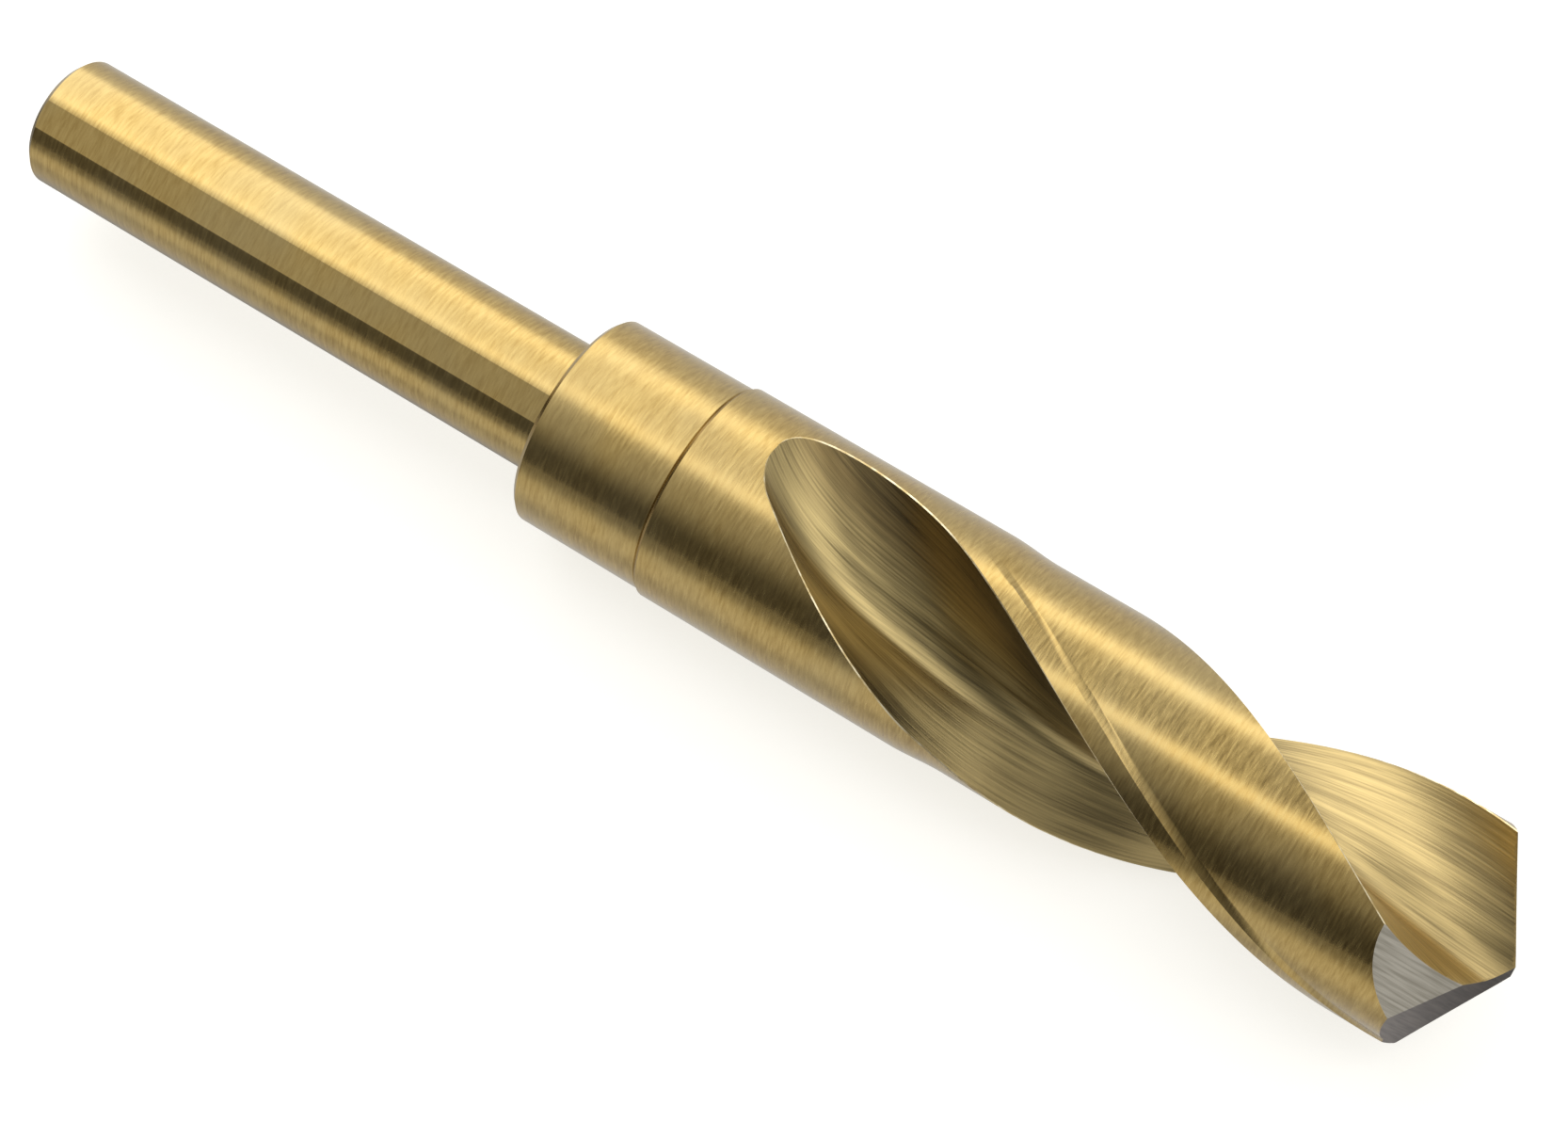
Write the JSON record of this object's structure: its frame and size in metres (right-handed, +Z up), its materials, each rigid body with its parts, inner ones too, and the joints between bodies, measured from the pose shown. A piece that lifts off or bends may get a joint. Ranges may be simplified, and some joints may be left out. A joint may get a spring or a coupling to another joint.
{
  "type": "reduced-shank twist drill bit",
  "caption": "Reduced-shank twist drill bit: a slim shank with chuck flats, a collar, and a thicker body with right-hand flutes and a ground four-facet point.",
  "frame": {"origin": "centre of the bounding box's underside: the drill lies on its body on a level surface, half-way along its length", "axes": "+X along the drill's axis towards the point, +Z up, +Y to the left when looking towards the point"},
  "size_m": [0.1524, 0.021, 0.021],
  "materials": {
    "bronze_turned_steel": "carbon steel, turned and ground, with a bronze-gold steam oxide",
    "bronze_ground_steel": "high-speed steel, ground, with a bronze-gold steam oxide and bare ground steel on the point's flanks"
  },
  "bodies": {
    "root": {"shank_with_collar": "bronze_turned_steel", "fluted_body": "bronze_ground_steel"}
  },
  "joints": []
}
